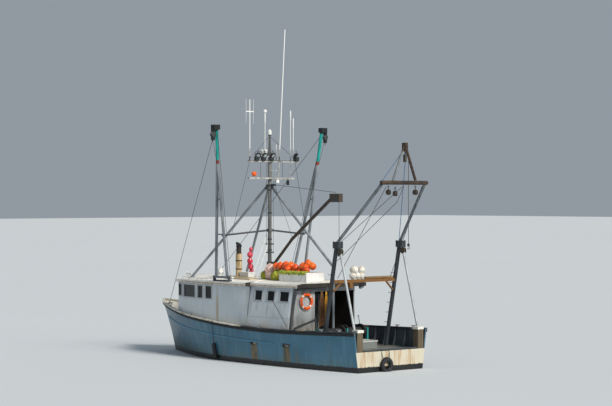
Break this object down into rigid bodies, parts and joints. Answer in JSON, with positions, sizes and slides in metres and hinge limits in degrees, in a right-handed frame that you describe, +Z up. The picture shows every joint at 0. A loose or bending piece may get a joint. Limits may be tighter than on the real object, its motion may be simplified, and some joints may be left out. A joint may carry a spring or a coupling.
{
  "type": "fishing trawler",
  "caption": "Small stern trawler afloat: blue hull, long white house forward, tripod mast with boom, standing outriggers, winch and leaning stern gantry",
  "frame": {"origin": "on the waterline, on the centreline, seven metres forward of the transom", "axes": "+X forward, +Y to port, +Z up"},
  "size_m": [15.7123, 6.24, 15.5513],
  "materials": {
    "hull_paint": "weathered blue paint over dark boot topping",
    "white_paint": "weathered white paint",
    "black_paint": "dull black paint",
    "grey_steel": "galvanised pipe, weathered",
    "dark_steel": "dark painted steel, rust at edges",
    "rusty_steel": "rusty orange-brown steel",
    "weathered_wood": "grey weathered timber",
    "deck_paint": "grey deck paint",
    "teal_paint": "teal paint",
    "orange_float": "orange plastic",
    "pink_float": "faded pink plastic",
    "white_float": "white plastic",
    "cream_paint": "cream heat-stained paint",
    "rubber": "black rubber",
    "bronze": "dull bronze",
    "net": "bundled green and yellow netting"
  },
  "bodies": {
    "boat": {"hull": "hull_paint", "keel": "black_paint", "port_bulwark": "hull_paint", "port_cap_rail": "white_paint", "port_rub_rail": "black_paint", "port_corner_post": "weathered_wood", "starboard_bulwark": "hull_paint", "starboard_cap_rail": "white_paint", "starboard_rub_rail": "black_paint", "starboard_corner_post": "weathered_wood", "fore_deck": "deck_paint", "bow_bitts": "dark_steel", "port_wheelhouse_side": "white_paint", "starboard_wheelhouse_side": "white_paint", "wheelhouse_front": "white_paint", "port_aft_house_side": "white_paint", "starboard_aft_house_side": "white_paint", "cabin_partition": "white_paint", "aft_bulkhead": "white_paint", "wheelhouse_roof": "white_paint", "aft_house_roof": "white_paint", "helm_console": "weathered_wood", "exhaust_stack": "cream_paint", "searchlight": "white_paint", "gear_box": "white_paint", "buoy_heap": "orange_float", "net_heap": "net", "hanging_buoys": "pink_float", "mast": "grey_steel", "upper_crosstree": "grey_steel", "lower_crosstree": "grey_steel", "radar_dome": "white_paint", "port_mast_leg": "grey_steel", "port_spreader_bar": "dark_steel", "starboard_mast_leg": "grey_steel", "starboard_spreader_bar": "dark_steel", "aft_mast_leg": "grey_steel", "port_outrigger_step": "dark_steel", "starboard_outrigger_step": "dark_steel", "port_gallows_post": "dark_steel", "starboard_gallows_post": "dark_steel", "gallows_beam": "rusty_steel", "beam_floats": "white_float", "spare_pole": "weathered_wood", "stern_gantry": "grey_steel", "gantry_block": "rusty_steel", "winch_frame": "teal_paint", "hatch_coaming": "deck_paint", "hanging_oilskins": "net", "life_ring": "orange_float", "tyre_fender": "rubber"},
    "propeller": {"propeller": "bronze"},
    "rudder": {"rudder": "black_paint"},
    "port_outrigger": {"port_outrigger": "grey_steel"},
    "starboard_outrigger": {"starboard_outrigger": "grey_steel"},
    "boom": {"boom": "dark_steel"},
    "cabin_door": {"cabin_door": "white_paint"},
    "hatch_cover": {"hatch_cover": "white_paint"},
    "port_winch_drum": {"port_winch_drum": "dark_steel"},
    "starboard_winch_drum": {"starboard_winch_drum": "dark_steel"}
  },
  "joints": [
    {"name": "propeller_spin", "type": "hinge", "parent": "boat", "child": "propeller", "pos_m": [-5.75, 0, -1.15], "axis": [1, 0, 0], "continuous": true},
    {"name": "rudder_turn", "type": "hinge", "parent": "boat", "child": "rudder", "pos_m": [-6.36, 0, -1.1], "axis": [0, 0, 1], "range_deg": [-35, 35]},
    {"name": "port_outrigger_lower", "type": "hinge", "parent": "boat", "child": "port_outrigger", "pos_m": [0.99, 2.1, 3.47], "axis": [1, 0, 0], "range_deg": [-70, 0]},
    {"name": "starboard_outrigger_lower", "type": "hinge", "parent": "boat", "child": "starboard_outrigger", "pos_m": [0.99, -2.1, 3.47], "axis": [1, 0, 0], "range_deg": [0, 70]},
    {"name": "boom_swing", "type": "hinge", "parent": "boat", "child": "boom", "pos_m": [0.4, 0, 3.98], "axis": [0, 0, 1], "range_deg": [-60, 0]},
    {"name": "cabin_door_swing", "type": "hinge", "parent": "boat", "child": "cabin_door", "pos_m": [-0.652, -1.178, 1.8], "axis": [0, 0, 1], "range_deg": [-90, 0]},
    {"name": "hatch_cover_lift", "type": "hinge", "parent": "boat", "child": "hatch_cover", "pos_m": [-4.865, 0, 1.048], "axis": [0, 1, 0], "range_deg": [0, 100]},
    {"name": "port_winch_spin", "type": "hinge", "parent": "boat", "child": "port_winch_drum", "pos_m": [-4.15, 0.54, 1.33], "axis": [0, 1, 0], "continuous": true},
    {"name": "starboard_winch_spin", "type": "hinge", "parent": "boat", "child": "starboard_winch_drum", "pos_m": [-4.15, -0.54, 1.33], "axis": [0, 1, 0], "continuous": true}
  ]
}
